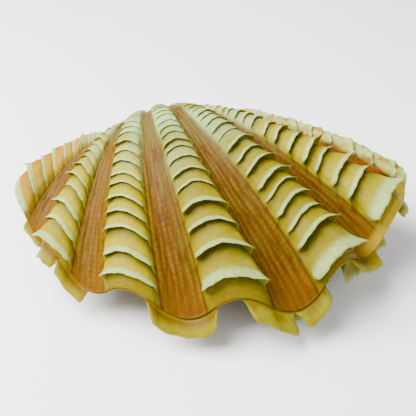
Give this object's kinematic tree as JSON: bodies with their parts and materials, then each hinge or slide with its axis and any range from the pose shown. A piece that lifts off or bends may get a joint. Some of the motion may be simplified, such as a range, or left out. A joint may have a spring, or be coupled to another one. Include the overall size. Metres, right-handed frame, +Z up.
{
  "type": "giant clam shell",
  "caption": "Closed pair of deeply ribbed giant clam valves with flaring scale-like flutes, resting on the lower valve.",
  "frame": {"origin": "middle of the footprint of the whole shell, on the surface that it rests on", "axes": "+X towards the long end of the hinge line, -Y towards the wavy open margin, +Z up"},
  "size_m": [0.2272, 0.144, 0.0793],
  "materials": {
    "upper_shell": "chalky natural shell, yellow ribs with pale mint scale edges, orange-brown furrows",
    "lower_shell": "chalky natural shell, olive-yellow with smoother rim flutes",
    "ligament": "dark dry horny ligament"
  },
  "bodies": {
    "root": {"upper_valve": "upper_shell", "lower_valve": "lower_shell", "hinge_ligament": "ligament"}
  },
  "joints": []
}
